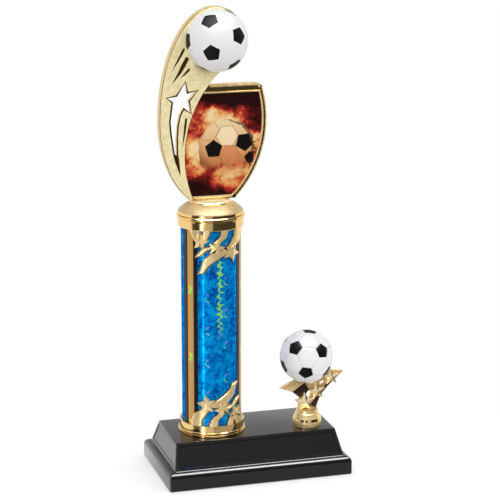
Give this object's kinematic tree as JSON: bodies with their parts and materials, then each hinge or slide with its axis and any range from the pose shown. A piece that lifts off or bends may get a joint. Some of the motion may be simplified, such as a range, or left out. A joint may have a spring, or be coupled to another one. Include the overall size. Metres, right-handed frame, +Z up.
{
  "type": "column trophy",
  "caption": "Football trophy: a winged insert frame with a ball on a foil-covered column between star collars, beside a small ball figure on a black base.",
  "frame": {"origin": "middle of the base's underside, on the surface that the trophy stands on", "axes": "+X along the base from the column towards the side figure, -Y out of the front, +Z up"},
  "size_m": [0.1619, 0.0968, 0.3953],
  "materials": {
    "base_plastic": "glossy black moulded plastic",
    "weight_block": "rough grey cast ballast",
    "felt": "black felt",
    "tube_card": "plain tube wall",
    "blue_foil": "blue prismatic foil",
    "stripe_tape": "gold foil tape with black edges",
    "gold_plastic": "gold-plated moulding, polished with satin fields",
    "steel": "zinc-plated steel",
    "printed_insert": "glossy colour print",
    "ball_plastic": "glossy white with black pentagons"
  },
  "bodies": {
    "root": {"base_shell": "base_plastic", "base_weight": "weight_block", "base_felt": "felt", "column_tube": "tube_card", "column_foil": "blue_foil", "stripe_left": "stripe_tape", "stripe_right": "stripe_tape", "stripe_back": "stripe_tape", "bottom_collar": "gold_plastic", "top_collar": "gold_plastic", "column_cap": "gold_plastic", "tie_rod": "steel", "rod_washer": "steel", "rod_nut": "steel", "figure_nut": "steel", "figure_frame": "gold_plastic", "insert_plate": "printed_insert", "top_ball_front": "ball_plastic", "top_ball_rear": "ball_plastic", "side_stand": "gold_plastic", "side_ball_front": "ball_plastic", "side_ball_rear": "ball_plastic", "side_bolt": "steel", "side_washer": "steel", "side_nut": "steel"}
  },
  "joints": []
}
